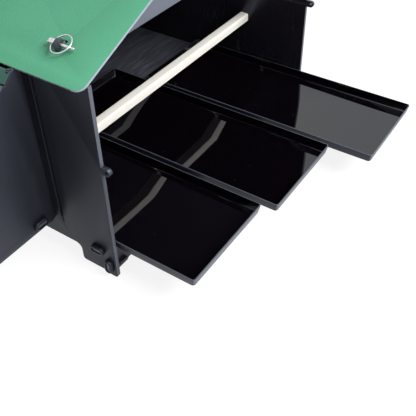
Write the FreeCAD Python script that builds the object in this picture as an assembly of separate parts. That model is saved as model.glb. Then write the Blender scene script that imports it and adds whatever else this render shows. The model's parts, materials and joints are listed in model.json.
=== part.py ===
"""Flat-pack plastic hen house: two side walls, gabled roof, nest box, trays and perch.

Millimetres. While the pieces are drawn, X = 0 is the middle of the house, Y = 0 is the front
edge of the side walls and Z = 0 is the ground. +X is the plain side, -X the nest box side,
-Y the open end that the trays slide out of. The finished pieces are moved together so that
the origin is under the middle of the whole part.
"""
import FreeCAD, Part
import math
import os

V = FreeCAD.Vector

# ---------------------------------------------------------------- house
house_width = 750.0          # over the outer faces of the side walls
house_depth = 650.0          # length of the side walls
sheet = 8.0                  # structural sheet
fit = 0.3                    # clearance of a tab in its slot
touch_gap = 0.2              # clearance of a loose piece on its seat
wall_bottom = 44.0           # lower edge of a side wall between its feet
foot_length = 86.0
foot_radius = 6.0
sole_length = 28.0           # low part of a foot, at the end of the wall
sole_step = 5.0              # the rest of the foot is this much higher
foot_fillet = 14.0
floor_top = 63.6
nose = 5.0                   # small corner rounding of cut sheet

# ---------------------------------------------------------------- roof
eave_height = 425.6          # underside of the roof over a wall's outer face
roof_pitch = 22.8            # degrees
roof_sheet = 4.0
eave_overhang = 14.0         # level distance past the wall
roof_corner = 17.0
roof_inset = 0.8             # front and rear roof edges behind the walls' edges
ridge_gap = 2.0              # between the two roof sheets at the ridge
cap_width = 62.0             # ridge cap, each leg along the slope
cap_sheet = 3.0
rivet_count = 6
rivet_head = 5.0             # radius
rivet_height = 2.2

# ---------------------------------------------------------------- gable braces
brace_y = 88.0               # middle of a brace from its end of the walls
brace_drop = 21.6            # lower edge below the eave
brace_tab = 14.0             # height of the end tab that sits in the wall's top notch
roof_lug_x = 43.0            # middle of a roof lug from the wall's outer face
roof_lug_width = 19.0
roof_lug_height = 16.0       # above the roof's upper face
roof_lug_hole = 7.0          # height of its hole above the roof's upper face
roof_slot_length = 24.0      # slot in the roof sheet along the slope

# ---------------------------------------------------------------- wall lugs and lynch pins
wall_lug_z = 265.3
wall_lug_y = 10.8            # hole centre past the wall's edge
wall_lug_radius = 7.4
pin_radius = 2.5
pin_hole_radius = 2.8
pin_head_side = 11.5         # from the lug's middle to the ring's axle
pin_tip_side = 32.0
head_block = 9.0             # across
head_length = 12.0
head_inside = 3.5            # head past the axle on the lug's side
ring_radius = 18.7           # middle of the wire
ring_wire = 1.4
axle_half = 6.2              # half the straight stretch through the pin's head
axle_clearance = 0.06

# ---------------------------------------------------------------- tabs and locking collars
tab_width = 22.0
collar_length = 32.0
collar_width = 19.0
collar_height = 9.0
collar_round = 3.5           # rounding of the outer rim
tab_proud = 7.0              # tab past the wall's outer face
floor_tab_y = 38.6           # first floor tab from the end of the wall
sill_y = 15.6                # middle of a sill from the end of the walls
sill_tab_z = 26.4
sill_low = 8.0
sill_pad = 4.0               # the sill's end pads reach this much lower
sill_pad_length = 36.0
ledge_width = 20.0
ledge_height = 8.0
ledge_x = 29.0               # middle of a ledge from the wall's outer face
ledge_z = 19.0
ledge_reach = 7.0            # out from the sill's face

# ---------------------------------------------------------------- perch
perch_front_y = 169.5        # middle of each perch from the front edge of the walls
perch_rear_y = 392.0
perch_depth = 24.0
perch_height = 20.0
perch_top = 200.5
perch_round = 5.0
perch_end_gap = 1.0
rest_reach = 16.0            # from the wall
rest_width = 12.0
rest_height = 10.0
notch_depth = 6.0            # in the perch's underside, over a rest
notch_length = 22.0          # from the wall
screw_radius = 3.6
screw_height = 1.8

# ---------------------------------------------------------------- trays
tray_width = 234.0
tray_length = 610.0
tray_height = 22.0
tray_wall = 2.5
tray_flare = 4.0
tray_corner = 6.5
tray_bend = 5.0              # rounding where floor and walls meet
tray_side_gap = 4.5          # outer trays to the side walls
tray_pulled = (171.0, 200.0, 294.0)

# ---------------------------------------------------------------- nest box
nest_front = 141.0           # front face of the front side panel
nest_bottom = 87.0
nest_depth = 240.0
nest_pitch = 42.2            # degrees
nest_rise = 8.0              # a side panel's edge, run on to the wall, above the eave height
nest_lid_sheet = 4.0
nest_lid_overhang = 14.0
nest_floor_top = 109.0
nest_tab_x = 40.0            # first floor tab from the wall
nest_round = 10.0
nest_opening_margin = 9.0    # wall left between the perches' ends and the opening
nest_opening_drop = 37.6     # top of the opening below the eave
lid_ear_x = 19.5             # foot of a hinge ear from the wall
lid_ear_radius = 3.4
lid_ear_cover = 3.0          # strip of the lid outside an ear
lid_ear_mouth = 2.4          # slot in an ear that a peg snaps in through
lid_peg_radius = 1.5
lid_peg_clearance = 0.08
lid_slot_length = 24.0
lid_slot_x = 45.0            # middle of the locating slot from the wall
lid_lug_proud = 1.5
strip_width = 18.0
strip_sheet = 3.0
slit_width = 2.5
slit_bottom = 86.0

# ---------------------------------------------------------------- rear panel and pop hole
rear_bottom = 30.0
pop_width = 220.0
pop_bottom = 104.0
pop_height = 230.0
door_sheet = 5.0
door_overlap = 12.0
door_gap = 0.4
guide_web = 12.0
guide_lip = 4.0
guide_cover = 9.0            # how far a lip covers the door
guide_extra = 170.0          # guides above the closed door
stop_height = 12.0
knob_radius = 13.0
knob_height = 18.0
vent_width = 14.0
vent_length = 170.0
vent_rise = 52.4             # middle of the vent above the eave

# ---------------------------------------------------------------- derived places
brace_low = eave_height - brace_drop
nest_top = eave_height + nest_rise
nest_opening_top = eave_height - nest_opening_drop
vent_z = eave_height + vent_rise
half = house_width / 2
inner = half - sheet
pitch = math.radians(roof_pitch)
slope_nest = math.radians(nest_pitch)
rear = house_depth
floor_mid = floor_top - sheet / 2
tray_gap = (2 * inner - 2 * tray_side_gap - 3 * tray_width) / 2
tray_names = ("left", "middle", "right")
perch_places = (("front", perch_front_y), ("rear", perch_rear_y))
nest_mid = (perch_front_y + perch_rear_y) / 2
nest_rear = 2 * nest_mid - nest_front
nest_out = -half - nest_depth
nest_meet = (nest_top - eave_height) / (math.tan(slope_nest) - math.tan(pitch))


def under_roof(x):
    """Height of the roof's underside at x."""
    return eave_height + (half - abs(x)) * math.tan(pitch)


def nest_edge(x):
    """Height of the nest side panel's sloping edge at x."""
    return nest_top - (-half - x) * math.tan(slope_nest)


def nest_crown():
    """Upper end of a nest panel's outline: under the eave, then down the slope."""
    meet = -half - nest_meet
    return [(-half, eave_height), (meet, nest_edge(meet))]


# ---------------------------------------------------------------- small helpers
def block(x0, x1, y0, y1, z0, z1):
    return Part.makeBox(x1 - x0, y1 - y0, z1 - z0, V(x0, y0, z0))


def plate(points, thickness):
    """A flat polygon given as vectors, thickened along the vector thickness."""
    wire = Part.makePolygon(list(points) + [points[0]])
    return Part.Face(wire).extrude(thickness)


def plate_yz(outline, x0, x1):
    return plate([V(x0, y, z) for y, z in outline], V(x1 - x0, 0, 0))


def plate_xz(outline, y0, y1):
    return plate([V(x, y0, z) for x, z in outline], V(0, y1 - y0, 0))


def round_corners(shape, along, corners):
    """Round the straight edges that run along an axis through the given corner points."""
    for place, radius in corners:
        found = []
        for edge in shape.Edges:
            start = edge.Vertexes[0].Point
            end = edge.Vertexes[-1].Point
            run = (end - start).normalize() if (end - start).Length > 1e-6 else V(0, 0, 0)
            if abs(abs(run.dot(along)) - 1) > 1e-6:
                continue
            offset = start - place
            if (offset - along * offset.dot(along)).Length < 1e-4:
                found.append(edge)
        shape = shape.makeFillet(radius, found)
    return shape


def rod(radius, start, end):
    run = end - start
    return Part.makeCylinder(radius, run.Length, start, run)


def placed(shape, origin, x_axis, z_axis):
    """Move a piece drawn in local axes so that its X and Z lie along the given ones."""
    moved = shape.copy()
    y_axis = z_axis.cross(x_axis)
    turn = FreeCAD.Rotation(x_axis, y_axis, z_axis, "ZXY")
    moved.Placement = FreeCAD.Placement(origin, turn).multiply(shape.Placement)
    return moved


def mirrored_x(shape):
    return shape.mirror(V(0, 0, 0), V(1, 0, 0))


def mirrored_y(shape):
    """Mirror end for end, about the middle of the house's depth."""
    return shape.mirror(V(0, rear / 2, 0), V(0, 1, 0))


def across_nest(shape):
    """Mirror end for end, about the middle of the nest box's length."""
    return shape.mirror(V(0, nest_mid, 0), V(0, 1, 0))


def stadium(length, width, height):
    """A bar with round ends, long along X, standing on Z = 0."""
    radius = width / 2
    reach = length / 2 - radius
    body = block(-reach, reach, -radius, radius, 0, height)
    for side in (-1, 1):
        body = body.fuse(Part.makeCylinder(radius, height, V(side * reach, 0, 0)))
    return body.removeSplitter()


# ---------------------------------------------------------------- tabs, slots and collars
def floor_tab_places():
    return (floor_tab_y, rear / 2, rear - floor_tab_y)


def sill_places():
    return (sill_y, rear - sill_y)


def collar():
    """Oval ring pushed over a tab: long along X, its back on Z = 0."""
    body = stadium(collar_length, collar_width, collar_height)
    rim = [e for e in body.Edges if e.BoundBox.ZMin > collar_height - 1e-3]
    body = body.makeFillet(collar_round, rim)
    hole = block(-tab_width / 2 - fit, tab_width / 2 + fit, -sheet / 2 - fit, sheet / 2 + fit,
                 -1, collar_height + 1)
    return body.cut(hole)


def tab_slot(side, y, z, along_y):
    """Cutter for a tab slot through the side wall on the given side."""
    wide = tab_width / 2 + fit
    thin = sheet / 2 + fit
    dy, dz = (wide, thin) if along_y else (thin, wide)
    x0, x1 = sorted((side * (inner - 1), side * (half + 1)))
    return block(x0, x1, y - dy, y + dy, z - dz, z + dz)


# ---------------------------------------------------------------- side walls
def wall_outline():
    """Side view of a wall: two feet, an arch between them and a straight top."""
    foot = [(sole_length, 0), (sole_length + sole_step, sole_step), (foot_length, sole_step),
            (foot_length, wall_bottom)]
    far_foot = [(rear - y, z) for y, z in reversed(foot)]
    return [(0, 0)] + foot + far_foot + [(rear, 0), (rear, eave_height), (0, eave_height)]


def wall_lug(end_y, outward, x0, x1):
    """Round lug past a wall's upright edge, with the hole for a lynch pin."""
    centre = end_y + outward * wall_lug_y
    root = end_y - outward * sheet
    y0, y1 = sorted((root, centre))
    low, high = wall_lug_z - wall_lug_radius, wall_lug_z + wall_lug_radius
    neck = block(x0, x1, y0, y1, low, high)
    end = Part.makeCylinder(wall_lug_radius, x1 - x0, V(x0, centre, wall_lug_z), V(1, 0, 0))
    return neck.fuse(end)


def side_wall(side):
    x0, x1 = sorted((side * half, side * inner))
    axis = V(1, 0, 0)
    wall = plate_yz(wall_outline(), x0, x1)
    wall = round_corners(wall, axis, [
        (V(x0, foot_length, wall_bottom), foot_fillet),
        (V(x0, rear - foot_length, wall_bottom), foot_fillet),
        (V(x0, 0, 0), foot_radius), (V(x0, rear, 0), foot_radius),
        (V(x0, foot_length, sole_step), foot_radius),
        (V(x0, rear - foot_length, sole_step), foot_radius)])
    for end_y, outward in ((0, -1), (rear, 1)):
        wall = wall.fuse(wall_lug(end_y, outward, x0, x1))
        hole_y = end_y + outward * wall_lug_y
        wall = wall.cut(rod(pin_hole_radius, V(x0 - 1, hole_y, wall_lug_z), V(x1 + 1, hole_y, wall_lug_z)))
    for y in floor_tab_places():
        wall = wall.cut(tab_slot(side, y, floor_mid, True))
    for y in sill_places():
        wall = wall.cut(tab_slot(side, y, sill_tab_z, False))
    notch = sheet / 2 + fit
    low = eave_height - brace_tab
    for y in (brace_y, rear - brace_y):
        wall = wall.cut(block(x0 - 1, x1 + 1, y - notch, y + notch, low, eave_height + 1))
    return wall.removeSplitter()


def nest_opening():
    """The hens' way from the house into the nest box, between the perches, as a cutter."""
    y0 = perch_front_y + perch_depth / 2 + nest_opening_margin
    y1 = perch_rear_y - perch_depth / 2 - nest_opening_margin
    opening = block(-half - 1, -inner + 1, y0, y1, nest_floor_top, nest_opening_top)
    return round_corners(opening, V(1, 0, 0), [
        (V(0, y, z), nest_round) for y in (y0, y1) for z in (nest_floor_top, nest_opening_top)])


def left_wall():
    wall = side_wall(-1).cut(nest_opening())
    slit_y = nest_front - strip_width - slit_width
    slit = block(-half - 1, -inner + 1, slit_y, slit_y + slit_width, slit_bottom, brace_low)
    wall = wall.cut(slit).cut(across_nest(slit))
    return wall


# ---------------------------------------------------------------- floor, sills and braces
def floor_panel():
    low = floor_top - sheet
    panel = block(-inner, inner, sill_y - sheet / 2, rear - sill_y + sheet / 2, low, floor_top)
    reach = half + tab_proud
    for y in floor_tab_places():
        panel = panel.fuse(block(-reach, reach, y - tab_width / 2, y + tab_width / 2, low, floor_top))
    return panel.removeSplitter()


def front_sill():
    """Upright board under the floor's front edge, with end pads and a tab into each wall."""
    top = floor_top - sheet
    pad = sill_pad_length
    outline = [(-inner, sill_low - sill_pad), (-inner + pad, sill_low - sill_pad),
               (-inner + pad + sill_pad, sill_low), (inner - pad - sill_pad, sill_low),
               (inner - pad, sill_low - sill_pad), (inner, sill_low - sill_pad),
               (inner, top), (-inner, top)]
    y0, y1 = sill_y - sheet / 2, sill_y + sheet / 2
    sill = plate_xz(outline, y0, y1)
    reach = half + tab_proud
    tab = block(-reach, reach, y0, y1, sill_tab_z - tab_width / 2, sill_tab_z + tab_width / 2)
    return sill.fuse(tab).removeSplitter()


def sill_ledges():
    """Small ledges on the outer faces of both sills, under the ends of the end panels."""
    x = half - ledge_x
    face = sill_y - sheet / 2
    ledge = block(-ledge_width / 2, ledge_width / 2, face - ledge_reach, face,
                  ledge_z - ledge_height / 2, ledge_z + ledge_height / 2)
    ledge = round_corners(ledge, V(0, 0, 1), [
        (V(-ledge_width / 2, face - ledge_reach, 0), 3), (V(ledge_width / 2, face - ledge_reach, 0), 3)])
    pieces = []
    for side in (-1, 1):
        piece = ledge.translated(V(side * x, 0, 0))
        pieces += [piece, mirrored_y(piece)]
    return Part.makeCompound(pieces)


def roof_frame(side):
    """Origin on the roof's underside over a wall, unit vector up the slope, outward normal."""
    up = V(-side * math.cos(pitch), 0, math.sin(pitch))
    normal = V(side * math.sin(pitch), 0, math.cos(pitch))
    return V(side * half, 0, eave_height), up, normal


def lug_place(side, y):
    """Centre of a roof lug's hole."""
    origin, up, normal = roof_frame(side)
    along = roof_lug_x / math.cos(pitch)
    return origin + up * along + normal * (roof_sheet + roof_lug_hole) + V(0, y, 0)


def roof_lug(side, y0, y1):
    """Round-topped lug of a brace, standing through the roof sheet."""
    centre = lug_place(side, y0)
    origin, up, normal = roof_frame(side)
    radius = roof_lug_width / 2
    top = roof_lug_height - roof_lug_hole
    stem = roof_sheet + roof_lug_hole + sheet
    corners = [centre + up * radius - normal * stem, centre - up * radius - normal * stem,
               centre - up * radius, centre + up * radius]
    body = plate(corners, V(0, y1 - y0, 0))
    crown = Part.makeCylinder(radius, y1 - y0, centre + normal * (top - radius), V(0, 1, 0))
    body = body.fuse(crown)
    return body.removeSplitter()


def front_brace():
    """Gable board across the house with end tabs in the walls and a lug for each roof sheet."""
    gap = fit
    tab_z = eave_height - brace_tab
    inside = inner - gap
    outline = [(-half, tab_z), (-inside, tab_z), (-inside, brace_low), (inside, brace_low),
               (inside, tab_z), (half, tab_z), (half, eave_height), (0, under_roof(0)),
               (-half, eave_height)]
    y0, y1 = brace_y - sheet / 2, brace_y + sheet / 2
    brace = plate_xz(outline, y0, y1)
    for side in (-1, 1):
        brace = brace.fuse(roof_lug(side, y0, y1))
        centre = lug_place(side, 0)
        brace = brace.cut(rod(pin_hole_radius, centre + V(0, y0 - 1, 0), centre + V(0, y1 + 1, 0)))
    return brace.removeSplitter()


# ---------------------------------------------------------------- roof
def roof_sheet_piece(side):
    origin, up, normal = roof_frame(side)
    low = origin - up * (eave_overhang / math.cos(pitch))
    length = (half + eave_overhang - ridge_gap / 2) / math.cos(pitch)
    first = V(0, roof_inset, 0)
    last = V(0, rear - roof_inset, 0)
    corners = [low + first, low + up * length + first, low + up * length + last, low + last]
    piece = plate(corners, normal * roof_sheet)
    rounded = [(corners[0], roof_corner), (corners[3], roof_corner)]
    piece = round_corners(piece, normal, rounded)
    for y in (brace_y, rear - brace_y):
        piece = piece.cut(roof_slot(side, y))
    return piece


def roof_slot(side, y):
    """Cutter for the slot that a lug stands in: the lug sits at its lower end."""
    origin, up, normal = roof_frame(side)
    start = roof_lug_x / math.cos(pitch) - roof_lug_width / 2 - fit
    thin = sheet / 2 + fit
    base = origin + up * start - normal + V(0, y - thin, 0)
    corners = [base, base + up * roof_slot_length,
               base + up * roof_slot_length + V(0, 2 * thin, 0), base + V(0, 2 * thin, 0)]
    return plate(corners, normal * (roof_sheet + 2))


def ridge_cap():
    """Folded strip over the gap between the two roof sheets."""
    rise = roof_sheet / math.cos(pitch)
    drop = cap_width * math.sin(pitch)
    reach = cap_width * math.cos(pitch)
    top = under_roof(0) + rise
    skin = cap_sheet / math.cos(pitch)
    outline = [(-reach, top - drop), (0, top), (reach, top - drop), (reach, top - drop + skin),
               (0, top + skin), (-reach, top - drop + skin)]
    return plate_xz(outline, roof_inset, rear - roof_inset)


def ridge_rivets():
    pieces = []
    spacing = (rear - 2 * roof_inset) / rivet_count
    start = roof_inset + spacing / 2
    for side in (-1, 1):
        origin, up, normal = roof_frame(side)
        run = (half / math.cos(pitch)) - cap_width * 0.7
        for i in range(rivet_count):
            y = start + i * spacing
            seat = origin + up * run + normal * (roof_sheet + cap_sheet) + V(0, y, 0)
            head = Part.makeCone(rivet_head, rivet_head * 0.55, rivet_height, seat, normal)
            pieces.append(head)
    return Part.makeCompound(pieces)


# ---------------------------------------------------------------- lynch pins
def pin_sites():
    """Name, hole centre, direction from tip to head, side that the ring lifts to."""
    sites = []
    for end, y, back in (("front", brace_y, 1), ("rear", rear - brace_y, -1)):
        for word, side in (("left", -1), ("right", 1)):
            origin, up, normal = roof_frame(side)
            sites.append((end + "_" + word, lug_place(side, y), V(0, back, 0), normal))
    for word, side in (("left", -1), ("right", 1)):
        place = V(side * (half + inner) / 2, rear + wall_lug_y, wall_lug_z)
        sites.append(("panel_" + word, place, V(side, 0, 0), V(0, 1, 0)))
    return sites


def lynch_pin():
    """Drawn along X with the lug at the origin and the head towards +X."""
    tip = -pin_tip_side
    bevel = pin_radius * 0.5
    shank = rod(pin_radius, V(tip + bevel, 0, 0), V(pin_head_side, 0, 0))
    point = Part.makeCone(pin_radius * 0.6, pin_radius, bevel, V(tip, 0, 0), V(1, 0, 0))
    h = head_block / 2
    head_start = pin_head_side - head_inside
    head = block(head_start, head_start + head_length, -h, h, -h, h)
    head = head.makeFillet(1.2, head.Edges)
    body = shank.fuse(point).fuse(head).removeSplitter()
    hole = rod(ring_wire + axle_clearance, V(pin_head_side, -h - 1, 0), V(pin_head_side, h + 1, 0))
    return body.cut(hole)


def lynch_ring():
    """Wire ring hinged in the head, its far side resting on the shank near the tip."""
    back = math.sqrt(ring_radius ** 2 - axle_half ** 2)
    centre = V(pin_head_side - back, 0, 0)
    start = math.degrees(math.asin(axle_half / ring_radius))
    section = Part.Wire(Part.makeCircle(ring_wire, centre + V(ring_radius, 0, 0), V(0, 1, 0)))
    arc = Part.Face(section).revolve(centre, V(0, 0, 1), 360 - 2 * start)
    arc.rotate(centre, V(0, 0, 1), start)
    axle_ends = [V(pin_head_side, side * axle_half, 0) for side in (-1, 1)]
    ring = arc.fuse(rod(ring_wire, axle_ends[0], axle_ends[1]))
    for place in axle_ends:
        ring = ring.fuse(Part.makeSphere(ring_wire, place))
    lift = pin_radius + ring_wire + touch_gap
    tilt = math.degrees(math.asin(lift / (back + ring_radius)))
    ring.rotate(V(pin_head_side, 0, 0), V(0, 1, 0), tilt)
    return ring


# ---------------------------------------------------------------- perch
def perch_bar(y):
    """Square bar whose notched ends drop over the rests on the walls."""
    reach = inner - perch_end_gap
    y0, y1 = y - perch_depth / 2, y + perch_depth / 2
    low = perch_top - perch_height
    bar = block(-reach, reach, y0, y1, low, perch_top)
    corners = [(V(0, edge, perch_top), perch_round) for edge in (y0, y1)]
    corners += [(V(0, edge, low), perch_round * 0.4) for edge in (y0, y1)]
    bar = round_corners(bar, V(1, 0, 0), corners)
    across = rest_width / 2 + fit
    for side in (-1, 1):
        x0, x1 = sorted((side * (inner - notch_length), side * (inner + 1)))
        bar = bar.cut(block(x0, x1, y - across, y + across, low - 1, low + notch_depth))
    return bar


def rest_top():
    return perch_top - perch_height + notch_depth - touch_gap


def perch_rests():
    """Small blocks on the walls' inner faces that carry the perches."""
    top = rest_top()
    tip = inner - rest_reach
    pieces = []
    for word, y in perch_places:
        y0, y1 = y - rest_width / 2, y + rest_width / 2
        rest = block(tip, inner, y0, y1, top - rest_height, top)
        rest = round_corners(rest, V(0, 0, 1), [(V(tip, y0, 0), 2), (V(tip, y1, 0), 2)])
        pieces += [rest, mirrored_x(rest)]
    return Part.makeCompound(pieces)


def rest_screws():
    """A pan head on the inner end of each rest."""
    pieces = []
    for word, y in perch_places:
        for side in (-1, 1):
            start = V(side * (inner - rest_reach), y, rest_top() - rest_height / 2)
            head = Part.makeCone(screw_radius, screw_radius * 0.7, screw_height, start, V(-side, 0, 0))
            pieces.append(head)
    return Part.makeCompound(pieces)


# ---------------------------------------------------------------- trays
def rounded_rectangle(x0, x1, y0, y1, z, radius):
    """Closed wire of four straight runs and four quarter arcs."""
    q = radius * (1 - math.sqrt(0.5))
    runs = [(V(x0 + radius, y0, z), V(x1 - radius, y0, z), V(x1 - q, y0 + q, z)),
            (V(x1, y0 + radius, z), V(x1, y1 - radius, z), V(x1 - q, y1 - q, z)),
            (V(x1 - radius, y1, z), V(x0 + radius, y1, z), V(x0 + q, y1 - q, z)),
            (V(x0, y1 - radius, z), V(x0, y0 + radius, z), V(x0 + q, y0 + q, z))]
    edges = []
    for i, (start, end, middle) in enumerate(runs):
        after = runs[(i + 1) % 4][0]
        edges.append(Part.LineSegment(start, end).toShape())
        edges.append(Part.Arc(end, middle, after).toShape())
    return Part.Wire(edges)


def tray_form(inset, low, high, bend):
    """Dish shape whose walls lean outwards and meet the floor in a rounded bend."""
    sections = []
    steps = 4
    lean = tray_flare / tray_height
    for i in range(steps + 1):
        angle = math.pi / 2 * i / steps
        z = low + bend * (1 - math.cos(angle))
        sections.append((z, bend * (1 - math.sin(angle))))
    sections.append((high, 0))
    wires = []
    for z, extra in sections:
        off = inset + extra + lean * (tray_height - z)
        corner = max(tray_corner - inset, tray_wall)
        wires.append(rounded_rectangle(off, tray_width - off, off, tray_length - off, z, corner))
    return Part.makeLoft(wires, True, True)


def tray(index):
    """One pull-out dropping tray, resting on the floor panel."""
    outer = tray_form(0, 0, tray_height, tray_bend)
    hollow = tray_form(tray_wall, tray_wall, tray_height + 1, tray_bend - tray_wall)
    dish = outer.cut(hollow)
    x = -inner + tray_side_gap + index * (tray_width + tray_gap)
    return dish.translated(V(x, -tray_pulled[index], floor_top))


# ---------------------------------------------------------------- nest box
def nest_side_front():
    """Sloping-topped side of the nest box, against the wall's outer face."""
    y0, y1 = nest_front, nest_front + sheet
    outline = [(-half, nest_bottom)] + nest_crown()
    outline += [(nest_out, nest_edge(nest_out)), (nest_out, nest_bottom)]
    side = plate_xz(outline, y0, y1)
    side = round_corners(side, V(0, 1, 0), [
        (V(-half, y0, nest_bottom), nest_round), (V(nest_out, y0, nest_bottom), nest_round)])
    side = side.fuse(nest_lug(y0, y1))
    wide = tab_width / 2 + fit
    thin = sheet / 2 + fit
    floor_z = nest_floor_top - sheet / 2
    for x in nest_floor_tabs():
        side = side.cut(block(x - wide, x + wide, y0 - 1, y1 + 1, floor_z - thin, floor_z + thin))
    back_x = nest_out + sheet / 2
    back_z = nest_back_tab()
    side = side.cut(block(back_x - thin, back_x + thin, y0 - 1, y1 + 1, back_z - wide, back_z + wide))
    y2 = y0 + lid_ear_cover + fit
    return side.fuse(lid_ear(y2, y1)).cut(lid_ear_hole(y2, y1)).removeSplitter()


def nest_floor_tabs():
    return (-half - nest_tab_x, nest_out + nest_tab_x)


def nest_back_tab():
    """Middle height of the back panel's tab."""
    return (nest_bottom + nest_edge(nest_out)) / 2


def lid_frame():
    """Where the sloping edges would meet the wall, unit vector down the lid, outward normal."""
    down = V(-math.cos(slope_nest), 0, -math.sin(slope_nest))
    normal = V(-math.sin(slope_nest), 0, math.cos(slope_nest))
    return V(-half, 0, nest_top), down, normal


def lid_axis():
    """A point of the lid's hinge axis, which runs along Y in the middle of the lid's thickness."""
    origin, down, normal = lid_frame()
    return origin + down * (lid_ear_x / math.cos(slope_nest)) + normal * (touch_gap + nest_lid_sheet / 2)


def lid_ear(y0, y1):
    """Rounded ear on a side panel's sloping edge that carries the lid's hinge peg."""
    origin, down, normal = lid_frame()
    centre = lid_axis() + V(0, y0, 0)
    width = V(0, y1 - y0, 0)
    reach = down * lid_ear_radius
    stem = normal * (nest_lid_sheet + nose)
    foot = plate([centre - reach, centre + reach, centre + reach - stem, centre - reach - stem], width)
    return foot.fuse(Part.makeCylinder(lid_ear_radius, y1 - y0, centre, V(0, 1, 0)))


def lid_ear_hole(y0, y1):
    """Hole for a peg with the narrower mouth that the peg snaps in through."""
    origin, down, normal = lid_frame()
    start = lid_axis() + V(0, y0 - 1, 0)
    hole = rod(lid_peg_radius + lid_peg_clearance, start, start + V(0, y1 - y0 + 2, 0))
    across = down * (lid_ear_mouth / 2)
    out = normal * (lid_ear_radius + 1)
    return hole.fuse(plate([start - across, start + across, start + across + out, start - across + out],
                           V(0, y1 - y0 + 2, 0)))


def nest_lug(y0, y1):
    """Low lug on a side panel's sloping edge that locates the closed lid."""
    origin, down, normal = lid_frame()
    along = lid_slot_x / math.cos(slope_nest)
    reach = lid_slot_length / 2 - 4 * fit
    start = origin + down * (along - reach) - normal * nose + V(0, y0, 0)
    end = origin + down * (along + reach) - normal * nose + V(0, y0, 0)
    rise = normal * (nose + nest_lid_sheet + lid_lug_proud)
    taper = down * (nest_lid_sheet + lid_lug_proud) * 0.5
    return plate([start, end, end + rise - taper, start + rise + taper], V(0, y1 - y0, 0))


def nest_back():
    x0, x1 = nest_out, nest_out + sheet
    y0, y1 = nest_front + sheet, nest_rear - sheet
    low = nest_bottom
    panel = plate_xz([(x0, low), (x1, low), (x1, nest_edge(x1)), (x0, nest_edge(x0))], y0, y1)
    z = nest_back_tab()
    tab = block(x0, x1, nest_front, nest_rear, z - tab_width / 2, z + tab_width / 2)
    return panel.fuse(tab).removeSplitter()


def nest_floor():
    low = nest_floor_top - sheet
    panel = block(nest_out + sheet, -half, nest_front + sheet, nest_rear - sheet, low, nest_floor_top)
    for x in nest_floor_tabs():
        panel = panel.fuse(block(x - tab_width / 2, x + tab_width / 2, nest_front - tab_proud,
                                 nest_rear + tab_proud, low, nest_floor_top))
    return panel.removeSplitter()


def nest_lid():
    """Sloping lid with a round upper edge whose ends are pegs in the side panels' ears."""
    origin, down, normal = lid_frame()
    axis = lid_axis()
    length = (nest_depth + nest_lid_overhang - lid_ear_x) / math.cos(slope_nest)
    base = axis - normal * (nest_lid_sheet / 2) + V(0, nest_front, 0)
    width = V(0, nest_rear - nest_front, 0)
    corners = [base, base + width, base + width + down * length, base + down * length]
    lid = plate(corners, normal * nest_lid_sheet)
    lid = round_corners(lid, normal, [(corners[2], roof_corner), (corners[3], roof_corner)])
    slot_start = (lid_slot_x - lid_ear_x) / math.cos(slope_nest) - lid_slot_length / 2
    room = sheet + 2 * fit
    for inward, edge_y in ((1, nest_front), (-1, nest_rear)):
        edge = axis - normal * nest_lid_sheet + V(0, edge_y, 0)
        slot = (edge + down * slot_start, lid_slot_length, -1)
        ear_room = (edge - down, lid_ear_radius + 4 * fit + 1, lid_ear_cover)
        for first, run, near in (slot, ear_room):
            first = first + V(0, inward * near, 0)
            last = first + down * run
            wide = V(0, inward * (room - near), 0)
            lid = lid.cut(plate([first, last, last + wide, first + wide], normal * nest_lid_sheet * 2))
    ends = (nest_front, nest_front + lid_ear_cover, nest_front + room,
            nest_rear - room, nest_rear - lid_ear_cover, nest_rear)
    for y0, y1 in zip(ends[::2], ends[1::2]):
        lid = lid.fuse(rod(nest_lid_sheet / 2, axis + V(0, y0, 0), axis + V(0, y1, 0)))
    pegs = rod(lid_peg_radius, axis + V(0, nest_front + fit, 0), axis + V(0, nest_rear - fit, 0))
    return lid.fuse(pegs).removeSplitter()


def nest_cover_strips():
    """Flat strips on the wall beside the nest box."""
    y0, y1 = nest_front - strip_width, nest_front
    low = nest_bottom + nest_round
    strip = block(-half - strip_sheet, -half, y0, y1, low, eave_height - brace_tab)
    strip = round_corners(strip, V(1, 0, 0), [(V(-half, y0, low), nose)])
    return Part.makeCompound([strip, across_nest(strip)])


# ---------------------------------------------------------------- rear panel, door and guides
def rear_panel():
    """Removable end panel: hangs on the wall lugs, locked by two lynch pins."""
    y0, y1 = rear, rear + sheet
    outline = [(-half, rear_bottom), (half, rear_bottom), (half, eave_height),
               (0, under_roof(0)), (-half, eave_height)]
    panel = plate_xz(outline, y0, y1)
    panel = round_corners(panel, V(0, 1, 0), [
        (V(-half, y0, rear_bottom), nose), (V(half, y0, rear_bottom), nose)])
    hole = block(-pop_width / 2, pop_width / 2, y0 - 1, y1 + 1, pop_bottom, pop_bottom + pop_height)
    hole = round_corners(hole, V(0, 1, 0), [
        (V(side * pop_width / 2, 0, pop_bottom + pop_height), 3 * nose) for side in (-1, 1)])
    panel = panel.cut(hole)
    for side in (-1, 1):
        x0, x1 = sorted((side * (inner - fit), side * (half + 1)))
        panel = panel.cut(block(x0, x1, y0 - 1, y1 + 1, wall_lug_z - wall_lug_radius - fit,
                                wall_lug_z + wall_lug_radius))
    vent = stadium(vent_length, vent_width, sheet + 2)
    return panel.cut(placed(vent, V(0, y0 - 1, vent_z), V(1, 0, 0), V(0, 1, 0)))


def door_face():
    return rear + sheet + door_gap


def pop_door():
    x = pop_width / 2 + door_overlap
    y0 = door_face()
    return block(-x, x, y0, y0 + door_sheet, pop_bottom - door_overlap,
                 pop_bottom + pop_height + door_overlap)


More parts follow.
